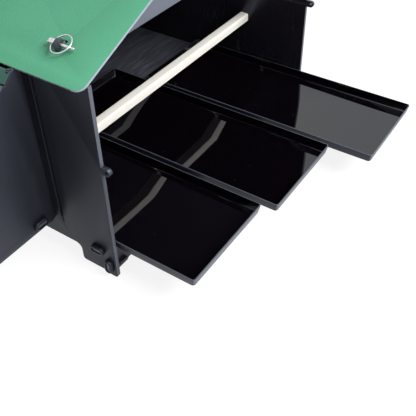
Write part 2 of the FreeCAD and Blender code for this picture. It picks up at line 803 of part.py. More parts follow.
def door_guide(side):
    """Channel for one edge of the door: a web on the panel and a lip over the door."""
    x_in = pop_width / 2 + door_overlap + door_gap
    x_out = x_in + guide_web
    y0 = rear + sheet
    y1 = y0 + door_sheet + 2 * door_gap
    y2 = y1 + guide_lip
    low = pop_bottom - door_overlap - stop_height
    high = pop_bottom + pop_height + door_overlap + guide_extra
    section = [(x_in, y0), (x_out, y0), (x_out, y2), (x_in - guide_cover, y2),
               (x_in - guide_cover, y1), (x_in, y1)]
    guide = plate([V(x, y, low) for x, y in section], V(0, 0, high - low))
    return guide if side > 0 else mirrored_x(guide)


def limit_guide(shape):
    """Trim the guides' tops to the panel's gable, which they are fixed to."""
    top = 3 * nose
    y0, y1 = rear, rear + 10 * sheet
    outline = [(-half, 0), (half, 0), (half, eave_height - top), (0, under_roof(0) - top),
               (-half, eave_height - top)]
    return shape.common(plate_xz(outline, y0, y1))


def door_stop():
    """Strip on the panel that the closed door stands on."""
    x = pop_width / 2 + door_overlap
    top = pop_bottom - door_overlap - touch_gap
    y0 = rear + sheet
    return block(-x, x, y0, y0 + door_sheet + 2 * door_gap, top - stop_height + touch_gap, top)


def door_knob():
    y0 = door_face() + door_sheet
    z = pop_bottom + pop_height / 3
    neck = Part.makeCone(knob_radius * 0.75, knob_radius * 0.55, knob_height / 2, V(0, y0, z), V(0, 1, 0))
    cap = Part.makeCone(knob_radius * 0.55, knob_radius, knob_height / 2,
                        V(0, y0 + knob_height / 2, z), V(0, 1, 0))
    knob = neck.fuse(cap)
    rim = [e for e in knob.Edges if e.BoundBox.YMin > y0 + knob_height - 1e-3]
    return knob.makeFillet(2.0, rim)


def guide_screws():
    """Pan heads along the outside of each guide."""
    y = rear + sheet + door_sheet + 2 * door_gap + guide_lip
    x = pop_width / 2 + door_overlap + door_gap + guide_web / 2
    low = pop_bottom
    high = pop_bottom + pop_height
    pieces = []
    for side in (-1, 1):
        for i in range(3):
            z = low + (high - low) * i / 2
            seat = V(side * x, y, z)
            pieces.append(Part.makeCone(screw_radius, screw_radius * 0.7, screw_height, seat, V(0, 1, 0)))
    return Part.makeCompound(pieces)


# ---------------------------------------------------------------- groups of collars
def floor_collars():
    ring = collar()
    pieces = []
    for side in (-1, 1):
        for y in floor_tab_places():
            pieces.append(placed(ring, V(side * half, y, floor_mid), V(0, 1, 0), V(side, 0, 0)))
    return Part.makeCompound(pieces)


def sill_collars():
    ring = collar()
    pieces = []
    for side in (-1, 1):
        for y in sill_places():
            pieces.append(placed(ring, V(side * half, y, sill_tab_z), V(0, 0, 1), V(side, 0, 0)))
    return Part.makeCompound(pieces)


def nest_collars():
    ring = collar()
    z = nest_floor_top - sheet / 2
    pieces = []
    for x in nest_floor_tabs():
        pieces.append(placed(ring, V(x, nest_front, z), V(1, 0, 0), V(0, -1, 0)))
        pieces.append(placed(ring, V(x, nest_rear, z), V(1, 0, 0), V(0, 1, 0)))
    return Part.makeCompound(pieces)


# ---------------------------------------------------------------- the whole part
def build():
    brace = front_brace()
    sill = front_sill()
    nest_side = nest_side_front()
    nodes = {
        "left_wall": left_wall(), "right_wall": side_wall(1), "floor_panel": floor_panel(),
        "front_sill": sill, "rear_sill": mirrored_y(sill), "sill_ledges": sill_ledges(),
        "front_brace": brace, "rear_brace": mirrored_y(brace),
        "roof_left": roof_sheet_piece(-1), "roof_right": roof_sheet_piece(1),
        "ridge_cap": ridge_cap(), "ridge_rivets": ridge_rivets(),
        "perch_rests": perch_rests(), "rest_screws": rest_screws(),
        "nest_side_front": nest_side, "nest_side_rear": across_nest(nest_side),
        "nest_back": nest_back(), "nest_floor": nest_floor(), "nest_lid": nest_lid(),
        "nest_cover_strips": nest_cover_strips(),
        "floor_collars": floor_collars(), "sill_collars": sill_collars(),
        "nest_collars": nest_collars(),
        "rear_panel": rear_panel(), "pop_door": pop_door(), "pop_door_knob": door_knob(),
        "door_guide_left": limit_guide(door_guide(-1)), "door_guide_right": limit_guide(door_guide(1)),
        "door_stop": door_stop(), "guide_screws": guide_screws(),
    }
    for word, y in perch_places:
        nodes["perch_" + word] = perch_bar(y)
    for index, word in enumerate(tray_names):
        nodes["tray_" + word] = tray(index)
    pin = lynch_pin()
    ring = lynch_ring()
    pins = []
    for name, place, tip_to_head, lift in pin_sites():
        pins.append(placed(pin, place, tip_to_head, lift))
        nodes["ring_" + name] = placed(ring, place, tip_to_head, lift)
    nodes["lynch_pins"] = Part.makeCompound(pins)
    return nodes


nodes = build()
extent = Part.makeCompound(list(nodes.values())).BoundBox
shift = V(-extent.Center.x, -extent.Center.y, -extent.ZMin)
os.makedirs("parts", exist_ok=True)
for name, shape in nodes.items():
    shape.translated(shift).exportStep("parts/" + name + ".step")
print("origin moved by", shift)
print("size", round(extent.XLength, 1), round(extent.YLength, 1), round(extent.ZLength, 1))
print(len(nodes), "nodes")
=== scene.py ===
import bpy, bmesh, json, math
from mathutils import Matrix, Vector
from mathutils.bvhtree import BVHTree


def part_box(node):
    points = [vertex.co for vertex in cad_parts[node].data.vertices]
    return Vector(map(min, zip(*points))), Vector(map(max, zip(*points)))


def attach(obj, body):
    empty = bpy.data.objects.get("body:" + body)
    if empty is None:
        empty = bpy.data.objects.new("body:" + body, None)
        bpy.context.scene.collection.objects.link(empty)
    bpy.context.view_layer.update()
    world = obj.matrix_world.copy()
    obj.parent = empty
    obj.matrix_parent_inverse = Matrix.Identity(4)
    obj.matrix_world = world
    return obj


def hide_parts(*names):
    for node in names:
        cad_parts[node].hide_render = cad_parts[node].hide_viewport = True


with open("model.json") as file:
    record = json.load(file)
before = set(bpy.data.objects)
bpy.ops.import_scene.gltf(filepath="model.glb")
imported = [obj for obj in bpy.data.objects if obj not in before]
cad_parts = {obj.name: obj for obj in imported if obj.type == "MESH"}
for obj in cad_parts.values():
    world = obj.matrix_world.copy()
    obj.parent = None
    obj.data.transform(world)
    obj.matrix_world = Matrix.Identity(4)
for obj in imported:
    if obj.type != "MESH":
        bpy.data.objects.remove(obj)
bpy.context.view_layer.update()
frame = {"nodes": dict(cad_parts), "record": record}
nodes = frame["nodes"]

# ------------------------------------------------------------------ places from the frame
LUG_REACH = 0.0182            # metres from a wall's front or rear edge to the tip of its lug
left_low, left_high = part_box("left_wall")
walls_front = left_low.y + LUG_REACH
walls_rear = left_high.y - LUG_REACH
front_corner = Vector((left_low.x, walls_front, 0.0))     # front lower corner, nest box side
middle_x = (left_low.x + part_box("right_wall")[1].x) / 2
ridge_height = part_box("roof_left")[1].z
roof_pitch = math.radians(22.8)
lid_pitch = math.radians(42.2)

FLUTE_PITCH = 0.0035          # metres between the webs of the roof and lid sheet
FLUTE_WEB = 0.0006
FLUTE_DEPTH = 0.006
TRAY_FLARE = 0.004            # how far a tray's wall leans out over its height
TRAY_CORNER = 0.0065
TRAY_BEND = 0.005
TRAY_WALL = 0.0025
SHEET_ARRIS = 0.0007
# Inside holes and slots narrower than NARROW_GAP the dark is painted shade.
NARROW_GAP = 0.012            # holes and slots narrower than this are dark inside
SIDEWAYS = 0.7                # a face looks along an axis when its normal's part is above this
CUT, OTHER, LUG, GAP = 1, 2, 3, 4         # places in a cut sheet's materials, after its face's
SKIN, CORE, FLUTE = 0, 1, 2               # places in a fluted sheet's materials
INSIDE, PAINTED_SHEEN, FLANK = 0, 1, 2            # places in a tray's materials


# ------------------------------------------------------------------ node helpers
def new_group(name, inputs, outputs):
    """A shader node group with named sockets; returns the tree and its two end nodes."""
    tree = bpy.data.node_groups.new(name, "ShaderNodeTree")
    for label, kind, default in inputs:
        socket = tree.interface.new_socket(name=label, in_out="INPUT", socket_type=kind)
        if default is not None:
            socket.default_value = default
    for label, kind in outputs:
        tree.interface.new_socket(name=label, in_out="OUTPUT", socket_type=kind)
    return tree, tree.nodes.new("NodeGroupInput"), tree.nodes.new("NodeGroupOutput")


def add_node(tree, kind, inputs=None, **settings):
    """A node with its settings, and its inputs filled from values or linked from sockets."""
    node = tree.nodes.new(kind)
    for key, value in settings.items():
        setattr(node, key, value)
    for key, value in (inputs or {}).items():
        socket = node.inputs[key]
        if isinstance(value, bpy.types.NodeSocket):
            tree.links.new(value, socket)
        else:
            socket.default_value = value
    return node


def math_node(tree, operation, *values):
    node = tree.nodes.new("ShaderNodeMath")
    node.operation = operation
    for index, value in enumerate(values):
        if isinstance(value, bpy.types.NodeSocket):
            tree.links.new(value, node.inputs[index])
        else:
            node.inputs[index].default_value = value
    return node.outputs[0]


def mix_colour(tree, factor, first, second):
    node = tree.nodes.new("ShaderNodeMix")
    node.data_type = "RGBA"
    for index, value in ((0, factor), (6, first), (7, second)):
        if isinstance(value, bpy.types.NodeSocket):
            tree.links.new(value, node.inputs[index])
        else:
            node.inputs[index].default_value = value
    return node.outputs[2]


def ramp(tree, factor, low, high):
    """Value that rises from 0 to 1 as the factor goes from low to high."""
    node = add_node(tree, "ShaderNodeMapRange", {"Value": factor, "From Min": low, "From Max": high})
    return node.outputs[0]


def object_coordinates(tree):
    return tree.nodes.new("ShaderNodeTexCoord").outputs["Object"]


# ------------------------------------------------------------------ shared effects
def make_grain_group():
    """Fine leathery grain of moulded and rolled sheet, with broad uneven tone."""
    tree, entry, leave = new_group("sheet_grain", [
        ("Vector", "NodeSocketVector", None), ("Base", "NodeSocketColor", (0.05, 0.05, 0.05, 1)),
        ("Light", "NodeSocketColor", (0.08, 0.08, 0.08, 1)), ("Grain Scale", "NodeSocketFloat", 900.0),
        ("Tone Scale", "NodeSocketFloat", 6.0), ("Tone", "NodeSocketFloat", 0.3)],
        [("Color", "NodeSocketColor"), ("Height", "NodeSocketFloat"), ("Mask", "NodeSocketFloat")])
    grain = add_node(tree, "ShaderNodeTexNoise", {
        "Vector": entry.outputs["Vector"], "Scale": entry.outputs["Grain Scale"], "Detail": 3.0,
        "Roughness": 0.6})
    tone = add_node(tree, "ShaderNodeTexNoise", {
        "Vector": entry.outputs["Vector"], "Scale": entry.outputs["Tone Scale"], "Detail": 4.0})
    speck = ramp(tree, grain.outputs[0], 0.42, 0.62)
    broad = math_node(tree, "MULTIPLY", ramp(tree, tone.outputs[0], 0.35, 0.65), entry.outputs["Tone"])
    mask = math_node(tree, "ADD", math_node(tree, "MULTIPLY", speck, 0.35), broad)
    mask = math_node(tree, "MINIMUM", mask, 1.0)
    tree.links.new(mix_colour(tree, mask, entry.outputs["Base"], entry.outputs["Light"]),
                   leave.inputs["Color"])
    tree.links.new(grain.outputs[0], leave.inputs["Height"])
    tree.links.new(mask, leave.inputs["Mask"])
    return tree


def make_scuff_group():
    """Pale scuffs and fine scratches, long along one axis."""
    tree, entry, leave = new_group("scuffs", [
        ("Vector", "NodeSocketVector", None), ("Stretch", "NodeSocketVector", (1, 1, 1)),
        ("Scale", "NodeSocketFloat", 30.0), ("Amount", "NodeSocketFloat", 0.1)],
        [("Mask", "NodeSocketFloat")])
    place = add_node(tree, "ShaderNodeVectorMath", operation="MULTIPLY")
    tree.links.new(entry.outputs["Vector"], place.inputs[0])
    tree.links.new(entry.outputs["Stretch"], place.inputs[1])
    streak = add_node(tree, "ShaderNodeTexNoise", {
        "Vector": place.outputs[0], "Scale": entry.outputs["Scale"], "Detail": 5.0, "Roughness": 0.65})
    patch = add_node(tree, "ShaderNodeTexNoise", {"Vector": entry.outputs["Vector"], "Scale": 5.0})
    where = math_node(tree, "MULTIPLY", ramp(tree, streak.outputs[0], 0.60, 0.72),
                      ramp(tree, patch.outputs[0], 0.45, 0.62))
    tree.links.new(math_node(tree, "MULTIPLY", where, entry.outputs["Amount"]), leave.inputs["Mask"])
    return tree


def make_rib_group():
    """Fine ribs up the slope, one over each flute of the sheet, fading in and out a little, with a mask that
    paints shade into the grooves between them.
    """
    tree, entry, leave = new_group("sheet_ribs", [
        ("Vector", "NodeSocketVector", None), ("Pitch", "NodeSocketFloat", 0.0035)],
        [("Height", "NodeSocketFloat"), ("Groove Shade", "NodeSocketFloat")])
    split = add_node(tree, "ShaderNodeSeparateXYZ", {"Vector": entry.outputs["Vector"]})
    turn = math_node(tree, "DIVIDE", 2 * math.pi, entry.outputs["Pitch"])
    wave = math_node(tree, "SINE", math_node(tree, "MULTIPLY", split.outputs[1], turn))
    height = math_node(tree, "MULTIPLY_ADD", wave, 0.5, 0.5)
    tree.links.new(height, leave.inputs["Height"])
    patch = add_node(tree, "ShaderNodeTexNoise", {"Vector": entry.outputs["Vector"], "Scale": 14.0})
    depth = math_node(tree, "MULTIPLY_ADD", patch.outputs[0], 0.6, 0.7)
    groove_shade = math_node(tree, "MULTIPLY", math_node(tree, "SUBTRACT", 1.0, height), depth)
    tree.links.new(math_node(tree, "MINIMUM", groove_shade, 1.0), leave.inputs["Groove Shade"])
    return tree


grain_group = make_grain_group()
scuff_group = make_scuff_group()
rib_group = make_rib_group()


def use_group(tree, group, **inputs):
    node = tree.nodes.new("ShaderNodeGroup")
    node.node_tree = group
    for key, value in inputs.items():
        socket = node.inputs[key.replace("_", " ")]
        if isinstance(value, bpy.types.NodeSocket):
            tree.links.new(value, socket)
        else:
            socket.default_value = value
    return node


def start_material(name):
    material = bpy.data.materials.new(name)
    material.use_nodes = True
    tree = material.node_tree
    tree.nodes.clear()
    shader = tree.nodes.new("ShaderNodeBsdfPrincipled")
    output = tree.nodes.new("ShaderNodeOutputMaterial")
    tree.links.new(shader.outputs[0], output.inputs[0])
    return material, tree, shader


def add_bump(tree, shader, height, strength, distance):
    bump = add_node(tree, "ShaderNodeBump", {"Strength": strength, "Distance": distance, "Height": height})
    tree.links.new(bump.outputs[0], shader.inputs["Normal"])


# ------------------------------------------------------------------ materials
GREY_TINT = (0.70, 0.79, 1.0, 1)          # cool tint of the dark plastics' sheen
SCUFF_GREY = (0.35, 0.36, 0.38, 1)
TRAY_BLACK = (0.0022, 0.0012, 0.0024, 1)
DUST_GREY = (0.12, 0.115, 0.11, 1)
PINE_PALE = (0.99, 0.96, 0.89, 1)
PINE_GRAIN = (0.95, 0.89, 0.78, 1)


def sheet_material(name, base, light, roughness, scale=900.0, tone=0.3, scuffs=0.06, depth=0.0004,
                   level=0.75, stretch=(1.0, 1.0, 0.12)):
    """Matt structural plastic: fine grain, uneven tone and faint pale scuffs."""
    material, tree, shader = start_material(name)
    where = object_coordinates(tree)
    grain = use_group(tree, grain_group, Vector=where, Base=base, Light=light, Grain_Scale=scale, Tone=tone)
    scuff = use_group(tree, scuff_group, Vector=where, Stretch=stretch, Scale=60.0, Amount=scuffs)
    colour = mix_colour(tree, scuff.outputs[0], grain.outputs["Color"], SCUFF_GREY)
    tree.links.new(colour, shader.inputs["Base Color"])
    rough = math_node(tree, "MULTIPLY_ADD", grain.outputs["Mask"], 0.12, roughness)
    tree.links.new(rough, shader.inputs["Roughness"])
    shader.inputs["Specular IOR Level"].default_value = level
    shader.inputs["Specular Tint"].default_value = GREY_TINT
    add_bump(tree, shader, grain.outputs["Height"], 0.35, depth)
    return material


def streaked_material(name, base, light, roughness, along):
    """Sheet with fibrous streaks along one axis, pressed in when it was rolled."""
    material, tree, shader = start_material(name)
    where = object_coordinates(tree)
    place = add_node(tree, "ShaderNodeMapping", {"Vector": where, "Scale": along})
    streak = add_node(tree, "ShaderNodeTexNoise", {"Vector": place.outputs[0], "Scale": 170.0, "Detail": 5.0,
                                                   "Roughness": 0.62})
    grain = use_group(tree, grain_group, Vector=where, Base=base, Light=light, Grain_Scale=700.0, Tone=0.35)
    raised = ramp(tree, streak.outputs[0], 0.45, 0.66)
    colour = mix_colour(tree, math_node(tree, "MULTIPLY", raised, 0.55), grain.outputs["Color"],
                        [c * 2.6 for c in light[:3]] + [1])
    tree.links.new(colour, shader.inputs["Base Color"])
    tree.links.new(math_node(tree, "MULTIPLY_ADD", raised, 0.15, roughness), shader.inputs["Roughness"])
    shader.inputs["Specular IOR Level"].default_value = 0.75
    shader.inputs["Specular Tint"].default_value = GREY_TINT
    add_bump(tree, shader, streak.outputs[0], 0.5, 0.0012)
    return material


def green_material(name, base, light):
    """Green skin of the fluted sheet, with a rib over each flute and painted shade darkening the grooves
    between ribs.
    """
    material, tree, shader = start_material(name)
    where = object_coordinates(tree)
    ribs = use_group(tree, rib_group, Vector=where, Pitch=FLUTE_PITCH)
    grain = use_group(tree, grain_group, Vector=where, Base=base, Light=light, Grain_Scale=500.0,
                      Tone_Scale=9.0, Tone=0.5)
    # the grooves between the ribs are painted darker, as painted shade
    dark = [c * 0.55 for c in base[:3]] + [1]
    skin = mix_colour(tree, math_node(tree, "MULTIPLY", ribs.outputs["Groove Shade"], 0.5),
                      grain.outputs["Color"], dark)
    tree.links.new(skin, shader.inputs["Base Color"])
    shader.inputs["Roughness"].default_value = 0.55
    shader.inputs["Specular IOR Level"].default_value = 0.35
    add_bump(tree, shader, ribs.outputs["Height"], 0.5, 0.0004)
    return material


def tray_gloss_material():
    """Polished inner skin of a formed tray, faintly wavy, with dust and hair scratches."""
    material, tree, shader = start_material("tray_black_gloss")
    where = object_coordinates(tree)
    dust = add_node(tree, "ShaderNodeTexVoronoi", {"Vector": where, "Scale": 75.0, "Randomness": 1.0})
    speck = ramp(tree, dust.outputs["Distance"], 0.10, 0.05)
    patch = add_node(tree, "ShaderNodeTexNoise", {"Vector": where, "Scale": 14.0, "Detail": 3.0})
    speck = math_node(tree, "MULTIPLY", speck, ramp(tree, patch.outputs[0], 0.56, 0.66))
    colour = mix_colour(tree, math_node(tree, "MULTIPLY", speck, 0.5), TRAY_BLACK, DUST_GREY)
    tree.links.new(colour, shader.inputs["Base Color"])
    haze = add_node(tree, "ShaderNodeTexNoise", {"Vector": where, "Scale": 9.0, "Detail": 4.0})
    rough = math_node(tree, "MULTIPLY_ADD", ramp(tree, haze.outputs[0], 0.4, 0.7), 0.03, 0.015)
    tree.links.new(math_node(tree, "ADD", rough, math_node(tree, "MULTIPLY", speck, 0.4)),
                   shader.inputs["Roughness"])
    shader.inputs["Specular IOR Level"].default_value = 0.66
    shader.inputs["Specular Tint"].default_value = (0.86, 0.90, 1.0, 1)
    wave = add_node(tree, "ShaderNodeTexNoise", {"Vector": where, "Scale": 22.0, "Detail": 1.0})
    add_bump(tree, shader, wave.outputs[0], 0.02, 0.002)
    return material


def wood_material():
    """Planed pale softwood, grain along the bar."""
    material, tree, shader = start_material("perch_pine")
    where = object_coordinates(tree)
    stretch = add_node(tree, "ShaderNodeMapping", {"Vector": where, "Scale": (0.06, 1.0, 1.0)})
    rings = add_node(tree, "ShaderNodeTexNoise", {"Vector": stretch.outputs[0], "Scale": 90.0,
                                                  "Detail": 6.0, "Roughness": 0.6})
    fibre = add_node(tree, "ShaderNodeTexNoise", {"Vector": stretch.outputs[0], "Scale": 700.0,
                                                  "Detail": 2.0})
    mask = math_node(tree, "ADD", math_node(tree, "MULTIPLY", ramp(tree, rings.outputs[0], 0.4, 0.65), 0.6),
                     math_node(tree, "MULTIPLY", ramp(tree, fibre.outputs[0], 0.5, 0.7), 0.25))
    colour = mix_colour(tree, mask, PINE_PALE, PINE_GRAIN)
    tree.links.new(colour, shader.inputs["Base Color"])
    shader.inputs["Roughness"].default_value = 0.5
    add_bump(tree, shader, fibre.outputs[0], 0.2, 0.0003)
    return material


def steel_material(name, colour, roughness):
    """Bright zinc plate with faint cloudy wear."""
    material, tree, shader = start_material(name)
    where = object_coordinates(tree)
    cloud = add_node(tree, "ShaderNodeTexNoise", {"Vector": where, "Scale": 260.0, "Detail": 4.0})
    mask = ramp(tree, cloud.outputs[0], 0.35, 0.7)
    darker = [c * 0.7 for c in colour[:3]] + [1]
    tree.links.new(mix_colour(tree, mask, colour, darker), shader.inputs["Base Color"])
    tree.links.new(math_node(tree, "MULTIPLY_ADD", mask, 0.2, roughness), shader.inputs["Roughness"])
    shader.inputs["Metallic"].default_value = 1.0
    return material


roof_green = (0.098, 0.402, 0.230, 1)
roof_green_light = (0.122, 0.462, 0.275, 1)

wall_plastic = sheet_material("wall_charcoal_sheet", (0.0045, 0.0048, 0.0070, 1),
                              (0.008, 0.009, 0.013, 1), 0.45, level=0.50)
# The braces are painted a lighter grey than the charcoal walls, a painted sheen for the front light their
# faces catch.
brace_painted_sheen = sheet_material("brace_grey_painted_sheen", (0.108, 0.124, 0.150, 1),
                               (0.165, 0.186, 0.216, 1), 0.5, level=0.9, scuffs=0.04)
# Paler colours for the cut edges of walls and braces: a painted highlight for the sheen these edges catch
# from the front.
wall_edge_highlight = sheet_material("wall_cut_edge_painted_highlight", (0.060, 0.064, 0.078, 1),
                          (0.105, 0.111, 0.130, 1), 0.36, scale=600.0, tone=0.4, level=0.9)
brace_edge_highlight = sheet_material("brace_cut_edge_painted_highlight", (0.16, 0.19, 0.22, 1),
                           (0.24, 0.28, 0.32, 1), 0.36, scale=600.0, tone=0.4, level=0.9)
nest_plastic = sheet_material("nest_charcoal_sheet", (0.0085, 0.0090, 0.0130, 1),
                              (0.014, 0.015, 0.021, 1), 0.43, level=0.66)
sill_plastic = sheet_material("sill_charcoal_sheet", (0.020, 0.020, 0.028, 1),
                              (0.034, 0.034, 0.046, 1), 0.43)
inner_plastic = sheet_material("inner_charcoal_sheet", (0.010, 0.008, 0.013, 1),
                               (0.018, 0.016, 0.022, 1), 0.20, level=0.5, scuffs=0.10,
                               stretch=(1.0, 1.0, 0.25))
floor_plastic = streaked_material("floor_streaked_sheet", (0.052, 0.054, 0.067, 1),
                                  (0.086, 0.090, 0.108, 1), 0.5, (0.07, 1.0, 1.0))
# Black of the nest cover strips; also used as painted shade inside the walls' narrow holes and slots and on
# the strips' own edges.
strip_plastic = sheet_material("strip_black_and_painted_gap_shade", (0.004, 0.004, 0.006, 1),
                               (0.006, 0.006, 0.008, 1), 0.3, level=0.4, tone=0.2, scuffs=0.02)
moulded_plastic = sheet_material("moulded_charcoal", (0.006, 0.006, 0.009, 1),
                                 (0.013, 0.014, 0.019, 1), 0.36, scale=500.0, tone=0.5, level=0.42)
# The sill ledges are painted light grey, a painted highlight for the lit top face they show.
ledge_painted_highlight = sheet_material("ledge_grey_painted_highlight", (0.060, 0.062, 0.070, 1),
                               (0.130, 0.132, 0.145, 1), 0.5, scale=400.0, tone=0.5)
lug_plastic = sheet_material("lug_rough_charcoal", (0.004, 0.004, 0.006, 1),
                             (0.075, 0.080, 0.090, 1), 0.40, scale=280.0, tone=0.2, depth=0.0022)
roof_skin = green_material("roof_green_skin", roof_green, roof_green_light)
roof_core = sheet_material("roof_grey_core", (0.30, 0.33, 0.40, 1),
                           (0.40, 0.43, 0.50, 1), 0.42, tone=0.4)
# Near-black painted shade for the insides of the open flutes.
flute_painted_shade = sheet_material("roof_flute_painted_shade", (0.010, 0.010, 0.012, 1),
                              (0.016, 0.016, 0.018, 1), 0.6, level=0.3, scuffs=0.0)
# The nest lid is the roof's green sheet; its skin and core are darkened here as a painted shadow of the
# roof's eave.
lid_shadowed_skin = green_material("lid_green_skin_painted_shadow", (0.040, 0.125, 0.095, 1), (0.052, 0.150, 0.115, 1))
lid_shadowed_core = sheet_material("lid_core_painted_shadow", (0.020, 0.024, 0.030, 1),
                          (0.035, 0.040, 0.050, 1), 0.42, tone=0.4)
tray_gloss = tray_gloss_material()
# Lighter grey for the trays' rims and outer end walls: a painted sheen for the front light these black faces
# catch.
tray_painted_sheen = sheet_material("tray_black_painted_sheen", (0.060, 0.063, 0.078, 1),
                            (0.085, 0.090, 0.110, 1), 0.36, tone=0.4, scuffs=0.03, level=0.9)
perch_wood = wood_material()
pin_steel = steel_material("pin_zinc", (0.72, 0.73, 0.75, 1), 0.18)
screw_steel = steel_material("screw_zinc", (0.62, 0.62, 0.62, 1), 0.3)

finishes = {"wall_sheet": wall_plastic, "trim_plastic": wall_plastic, "floor_sheet": floor_plastic,
            "strip_plastic": strip_plastic, "collar_plastic": moulded_plastic, "roof_sheet": roof_skin,
            "lid_sheet": lid_shadowed_skin, "tray_plastic": tray_gloss, "perch_wood": perch_wood,
            "pin_steel": pin_steel, "screw_steel": screw_steel}
slots = {}
for entry in frame["record"]["subparts"]:
    slots[entry["node"]] = entry["material_slot"]
rides_on = {}
for body, members in frame["record"]["behaviour"]["bodies"].items():
    for member in members:
        rides_on[member] = body


# ------------------------------------------------------------------ pieces
def merged_copy(name):
    """A node's shape as a new mesh, its loose triangles joined into whole faces."""
    bm = bmesh.new()
    bm.from_mesh(nodes[name].data)
    bmesh.ops.remove_doubles(bm, verts=bm.verts, dist=0.00002)
    bmesh.ops.dissolve_limit(bm, angle_limit=math.radians(0.8), verts=bm.verts, edges=bm.edges)
    return bm


def add_piece(name, bm, node, materials, bevel=0.0, segments=2, sharp=30.0):
    """Turns a bmesh into a finished piece that stands for a node and rides on its body."""
    mesh = bpy.data.meshes.new(name)
    bm.to_mesh(mesh)
    bm.free()
    for material in materials:
        mesh.materials.append(material)
    mesh.shade_smooth()
    piece = bpy.data.objects.new(name, mesh)
    bpy.context.scene.collection.objects.link(piece)
    if bevel:
        soft = piece.modifiers.new("soft_edges", "BEVEL")
        soft.width = bevel
        soft.segments = segments
        soft.limit_method = "ANGLE"
        soft.angle_limit = math.radians(sharp)
        soft.harden_normals = True
    else:
        mesh.set_sharp_from_angle(angle=math.radians(sharp))
    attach(piece, rides_on[node])
    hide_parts(node)


def mark_cut_edges(bm, axis):
    """Gives the narrow faces round a sheet, which is flat across the axis, the paler edge material, a
    painted highlight for the sheen its cut edges catch.
    """
    for face in bm.faces:
        if abs(face.normal[axis]) < SIDEWAYS:
            face.material_index = CUT


def mark_inner_face(bm, inward):
    """Gives the face that looks into the house the smoother inner finish."""
    for face in bm.faces:
        if face.normal.dot(inward) > SIDEWAYS:
            face.material_index = OTHER


def mark_brace_lugs(bm):
    """Gives what stands above the roof's upper face the rough finish of a lug."""
    for face in bm.faces:
        centre = face.calc_center_median()
        roof_top = ridge_height - abs(centre.x - middle_x) * math.tan(roof_pitch)
        if centre.z > roof_top + 0.001:
            face.material_index = OTHER


def mark_wall_lugs(bm):
    """Wall lugs get the rough lug finish, and the insides of holes and narrow slots are painted near black
    as painted shade.
    """
    tree = BVHTree.FromBMesh(bm)
    for face in bm.faces:
        if abs(face.normal.x) > SIDEWAYS:
            continue
        centre = face.calc_center_median()
        if centre.y < walls_front - 0.001 or centre.y > walls_rear + 0.001:
            face.material_index = LUG
        across = tree.ray_cast(centre + face.normal * 0.0001, face.normal, NARROW_GAP)[3]
        if across:
            face.material_index = GAP


def add_sheets():
    """The cut sheet parts, with softened arrises and sawn edges painted paler as a painted highlight."""
    flat_across = {"left_wall": 0, "right_wall": 0, "nest_back": 0, "front_brace": 1, "rear_brace": 1,
                   "front_sill": 1, "rear_sill": 1, "rear_panel": 1, "nest_side_front": 1,
                   "nest_side_rear": 1, "pop_door": 1, "nest_cover_strips": 0, "floor_panel": 2,
                   "nest_floor": 2}
    own_face = {"front_brace": brace_painted_sheen, "rear_brace": brace_painted_sheen, "nest_side_front": nest_plastic,
                "nest_side_rear": nest_plastic, "front_sill": sill_plastic, "rear_sill": sill_plastic}
    # the cover strips' edges take the black strip material as painted shade, so they show no highlight
    own_edge = {"front_brace": brace_edge_highlight, "rear_brace": brace_edge_highlight, "nest_cover_strips": strip_plastic}
    inward = {"right_wall": Vector((-1, 0, 0)), "rear_panel": Vector((0, -1, 0))}
    for node, axis in flat_across.items():
        bm = merged_copy(node)
        mark_cut_edges(bm, axis)
        materials = [own_face.get(node, finishes[slots[node]]), own_edge.get(node, wall_edge_highlight), lug_plastic]
        if node in inward:
            mark_inner_face(bm, inward[node])
            materials[OTHER] = inner_plastic
        if node.endswith("_brace"):
            mark_brace_lugs(bm)
        if node.endswith("_wall"):
            mark_wall_lugs(bm)
            # the last material paints shade into the insides of narrow holes and slots
            materials += [lug_plastic, strip_plastic]
        add_piece(node + "_sheet", bm, node, materials, bevel=SHEET_ARRIS)


def add_mouldings():
    """Moulded and turned small parts, with rounded edges."""
    widths = {"floor_collars": 0.0004, "sill_collars": 0.0004, "nest_collars": 0.0004,
              "sill_ledges": 0.0010, "perch_rests": 0.0007, "pop_door_knob": 0.0015,
              "door_guide_left": 0.0007, "door_guide_right": 0.0007, "door_stop": 0.0007,
              "ridge_rivets": 0.0, "lynch_pins": 0.0004}
    for node, width in widths.items():
        material = ledge_painted_highlight if node == "sill_ledges" else finishes[slots[node]]
        add_piece(node + "_moulded", merged_copy(node), node, [material], bevel=width)
    for node in nodes:
        if node.startswith("ring_"):
            add_piece(node + "_wire", merged_copy(node), node, [pin_steel], sharp=50.0)


def add_screws():
    """Pan head screws, each with a socket sunk in its head."""
    for node in ("rest_screws", "guide_screws"):
        bm = merged_copy(node)
        tops = [f for f in bm.faces if len(f.verts) > 8]
        bmesh.ops.inset_individual(bm, faces=tops, thickness=0.0016, use_even_offset=True)
        for face in tops:
            bmesh.ops.translate(bm, verts=face.verts, vec=face.normal * -0.0011)
        add_piece(node + "_socket", bm, node, [screw_steel], sharp=30.0)


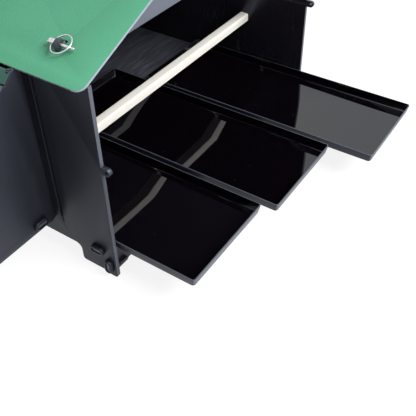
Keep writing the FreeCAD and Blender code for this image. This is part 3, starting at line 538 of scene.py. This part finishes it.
def open_flutes(bm, outward):
    """Sinks the open ends of the flutes into the edge face that looks outward, and paints the sunk pockets
    near black as painted shade.
    """
    def edge_faces():
        return [f for f in bm.faces if f.normal.dot(outward) > 0.995]
    low = min(v.co.y for f in edge_faces() for v in f.verts)
    high = max(v.co.y for f in edge_faces() for v in f.verts)
    count = int((high - low) / FLUTE_PITCH)
    start = (low + high - count * FLUTE_PITCH) / 2
    for step in range(count + 1):
        geometry = edge_faces()
        edges = list({e for f in geometry for e in f.edges})
        corners = list({v for f in geometry for v in f.verts})
        bmesh.ops.bisect_plane(bm, geom=geometry + edges + corners, dist=0.00001,
                               plane_co=(0, start + step * FLUTE_PITCH, 0), plane_no=(0, 1, 0))
    ends = []
    for face in edge_faces():
        widths = [v.co.y for v in face.verts]
        if max(widths) - min(widths) > FLUTE_PITCH * 0.8:
            ends.append(face)
    bmesh.ops.inset_individual(bm, faces=ends, thickness=FLUTE_WEB, use_even_offset=True)
    sunk = bmesh.ops.extrude_discrete_faces(bm, faces=ends)["faces"]
    for face in sunk:
        face.material_index = FLUTE
        for edge in face.edges:
            for side in edge.link_faces:
                side.material_index = FLUTE
        bmesh.ops.translate(bm, verts=face.verts, vec=outward * -FLUTE_DEPTH)


def add_green_sheets():
    """Roof sheets, ridge cap and nest lid: green skin on top, open flutes at the eaves."""
    falls = {"roof_left": (-1, roof_pitch, roof_skin, roof_core),
             "roof_right": (1, roof_pitch, roof_skin, roof_core),
             # the lid takes the darkened skin and core, a painted shadow of the eave
             "nest_lid": (-1, lid_pitch, lid_shadowed_skin, lid_shadowed_core)}
    for node, (side, slope, skin, core) in falls.items():
        bm = merged_copy(node)
        outward = Vector((side * math.cos(slope), 0.0, -math.sin(slope)))
        upward = Vector((side * math.sin(slope), 0.0, math.cos(slope)))
        for face in bm.faces:
            face.material_index = SKIN if face.normal.dot(upward) > 0.9 else CORE
        open_flutes(bm, outward)
        add_piece(node + "_fluted", bm, node, [skin, core, flute_painted_shade], bevel=0.0003)
    bm = merged_copy("ridge_cap")
    for face in bm.faces:
        face.material_index = SKIN if face.normal.z > 0.5 else CORE
    add_piece("ridge_cap_folded", bm, "ridge_cap", [roof_skin, roof_core], bevel=0.0005)


def add_trays():
    """Formed trays: flared walls, rounded corners and bends, glossy inside, and rims and outer end walls
    painted lighter as a painted sheen.
    """
    for word in ("left", "middle", "right"):
        node = "tray_" + word
        low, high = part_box(node)
        size = high - low
        bm = bmesh.new()
        bmesh.ops.create_cube(bm, size=1.0)
        bmesh.ops.scale(bm, vec=size, verts=bm.verts)
        lower = [v for v in bm.verts if v.co.z < 0]
        narrow = (1 - 2 * TRAY_FLARE / size.x, 1 - 2 * TRAY_FLARE / size.y, 1.0)
        bmesh.ops.scale(bm, vec=narrow, verts=lower)
        bmesh.ops.translate(bm, vec=(low + high) / 2, verts=bm.verts)
        top = [f for f in bm.faces if f.normal.z > 0.9]
        bmesh.ops.delete(bm, geom=top, context="FACES")
        uprights = [e for e in bm.edges if abs(e.verts[0].co.z - e.verts[1].co.z) > size.z / 2]
        bmesh.ops.bevel(bm, geom=uprights, offset=TRAY_CORNER, offset_type="OFFSET", segments=5,
                        profile=0.5, affect="EDGES", material=-1)
        floor_edges = [e for e in bm.edges if max(v.co.z for v in e.verts) < low.z + 0.0001]
        bmesh.ops.bevel(bm, geom=floor_edges, offset=TRAY_BEND, offset_type="OFFSET", segments=4,
                        profile=0.5, affect="EDGES", material=-1)
        bmesh.ops.recalc_face_normals(bm, faces=bm.faces)
        if sum(f.normal.z * f.calc_area() for f in bm.faces) > 0:
            bmesh.ops.reverse_faces(bm, faces=bm.faces)
        bmesh.ops.solidify(bm, geom=list(bm.faces), thickness=TRAY_WALL)
        bm.normal_update()
        middle = (low + high) / 2
        for face in bm.faces:
            centre = face.calc_center_median()
            to_middle = Vector((middle.x, middle.y, centre.z)) - centre
            # outer faces and rims take the lighter painted sheen; flanks keep the dark moulded plastic
            face.material_index = PAINTED_SHEEN
            if face.normal.z > 0.3 or face.normal.dot(to_middle) > 0:
                face.material_index = INSIDE
            elif abs(face.normal.x) > abs(face.normal.y):
                face.material_index = FLANK
            if centre.z > high.z - 0.0003:
                face.material_index = PAINTED_SHEEN
        add_piece(node + "_formed", bm, node, [tray_gloss, tray_painted_sheen, moulded_plastic], bevel=0.0006)


add_sheets()
add_mouldings()
add_screws()
add_green_sheets()
add_trays()
for word in ("front", "rear"):
    add_piece("perch_bar_" + word, merged_copy("perch_" + word), "perch_" + word, [perch_wood], bevel=0.0016,
              segments=4, sharp=50.0)


# ------------------------------------------------------------------ studio
FLOOR_GLOW = 0.50             # the white floor as mirrored in the object
FLOOR_EXTRA = 0.36            # added where the camera sees the floor itself
ROOM_LIGHT = 0.28
CAMERA_LENS = 54.04
CAMERA_SHIFT = -0.0673
CAMERA_ANGLES = (34.1, 40.6, -0.92)                     # azimuth, pitch and roll in degrees
CAMERA_OFFSET = Vector((-0.5542, -0.5866, 0.9181))      # from the front lower corner


def add_floor():
    mesh = bpy.data.meshes.new("studio_floor")
    bm = bmesh.new()
    bmesh.ops.create_grid(bm, x_segments=1, y_segments=1, size=14.0)
    bmesh.ops.translate(bm, verts=bm.verts, vec=(0, 0, -0.001))
    bm.to_mesh(mesh)
    bm.free()
    floor = bpy.data.objects.new("studio_floor", mesh)
    bpy.context.scene.collection.objects.link(floor)
    material, tree, shader = start_material("studio_floor_white")
    shader.inputs["Base Color"].default_value = (0.9, 0.9, 0.9, 1)
    shader.inputs["Roughness"].default_value = 0.9
    path = tree.nodes.new("ShaderNodeLightPath")
    camera = path.outputs["Is Camera Ray"]
    mirrored = math_node(tree, "MAXIMUM", path.outputs["Is Glossy Ray"], path.outputs["Is Transmission Ray"])
    seen = math_node(tree, "MAXIMUM", camera, mirrored)
    strength = math_node(tree, "MULTIPLY_ADD", camera, FLOOR_EXTRA, FLOOR_GLOW)
    glow = add_node(tree, "ShaderNodeEmission", {"Color": (1, 1, 1, 1), "Strength": strength})
    pale = mix_colour(tree, camera, (0.5, 0.5, 0.5, 1), (0.25, 0.25, 0.25, 1))
    shade = add_node(tree, "ShaderNodeBsdfDiffuse", {"Color": pale})
    white = add_node(tree, "ShaderNodeAddShader", {0: glow.outputs[0], 1: shade.outputs[0]})
    output = [n for n in tree.nodes if n.type == "OUTPUT_MATERIAL"][0]
    blend = add_node(tree, "ShaderNodeMixShader", {0: seen, 1: shader.outputs[0], 2: white.outputs[0]})
    tree.links.new(blend.outputs[0], output.inputs[0])
    mesh.materials.append(material)


def add_world():
    world = bpy.data.worlds.new("studio")
    bpy.context.scene.world = world
    world.use_nodes = True
    tree = world.node_tree
    tree.nodes.clear()
    path = tree.nodes.new("ShaderNodeLightPath")
    seen = math_node(tree, "MAXIMUM", path.outputs["Is Camera Ray"], path.outputs["Is Glossy Ray"])
    seen = math_node(tree, "MAXIMUM", seen, path.outputs["Is Transmission Ray"])
    dim = add_node(tree, "ShaderNodeBackground", {"Color": (0.93, 0.96, 1.0, 1), "Strength": ROOM_LIGHT})
    white = add_node(tree, "ShaderNodeBackground", {"Color": (1, 1, 1, 1), "Strength": 1.0})
    blend = add_node(tree, "ShaderNodeMixShader", {0: seen, 1: dim.outputs[0], 2: white.outputs[0]})
    add_node(tree, "ShaderNodeOutputWorld", {"Surface": blend.outputs[0]})


def add_area_light(name, place, target, width, height, power):
    data = bpy.data.lights.new(name, "AREA")
    data.shape = "RECTANGLE"
    data.size = width
    data.size_y = height
    data.energy = power
    lamp = bpy.data.objects.new(name, data)
    bpy.context.scene.collection.objects.link(lamp)
    lamp.location = place
    lamp.rotation_euler = (Vector(target) - Vector(place)).to_track_quat("-Z", "Y").to_euler()


def add_camera():
    data = bpy.data.cameras.new("camera")
    data.sensor_width = 36.0
    data.lens = CAMERA_LENS
    data.shift_y = CAMERA_SHIFT
    data.clip_start = 0.05
    data.clip_end = 60.0
    camera = bpy.data.objects.new("camera", data)
    bpy.context.scene.collection.objects.link(camera)
    azimuth, pitch, roll = (math.radians(angle) for angle in CAMERA_ANGLES)
    ahead = Vector((math.cos(azimuth), math.sin(azimuth), 0.0))
    forward = ahead * math.cos(pitch) - Vector((0.0, 0.0, math.sin(pitch)))
    level = Vector((math.sin(azimuth), -math.cos(azimuth), 0.0))
    upright = level.cross(forward)
    right = level * math.cos(roll) + upright * math.sin(roll)
    up = upright * math.cos(roll) - level * math.sin(roll)
    rotation = Matrix((right, up, -forward)).transposed().to_4x4()
    place = front_corner + CAMERA_OFFSET
    camera.matrix_world = Matrix.Translation(place) @ rotation
    bpy.context.scene.camera = camera


add_floor()
add_world()
add_area_light("key_light", (0.35, -2.3, 2.35), (0.05, -0.1, 0.25), 2.0, 1.3, 108.0)
add_area_light("top_light", (-0.3, -0.2, 3.0), (0.0, 0.0, 0.3), 2.6, 2.6, 6.0)
add_area_light("side_light", (-2.6, -0.8, 1.2), (-0.1, 0.1, 0.2), 1.6, 1.6, 4.0)
add_camera()
bpy.context.scene.view_settings.view_transform = "Standard"
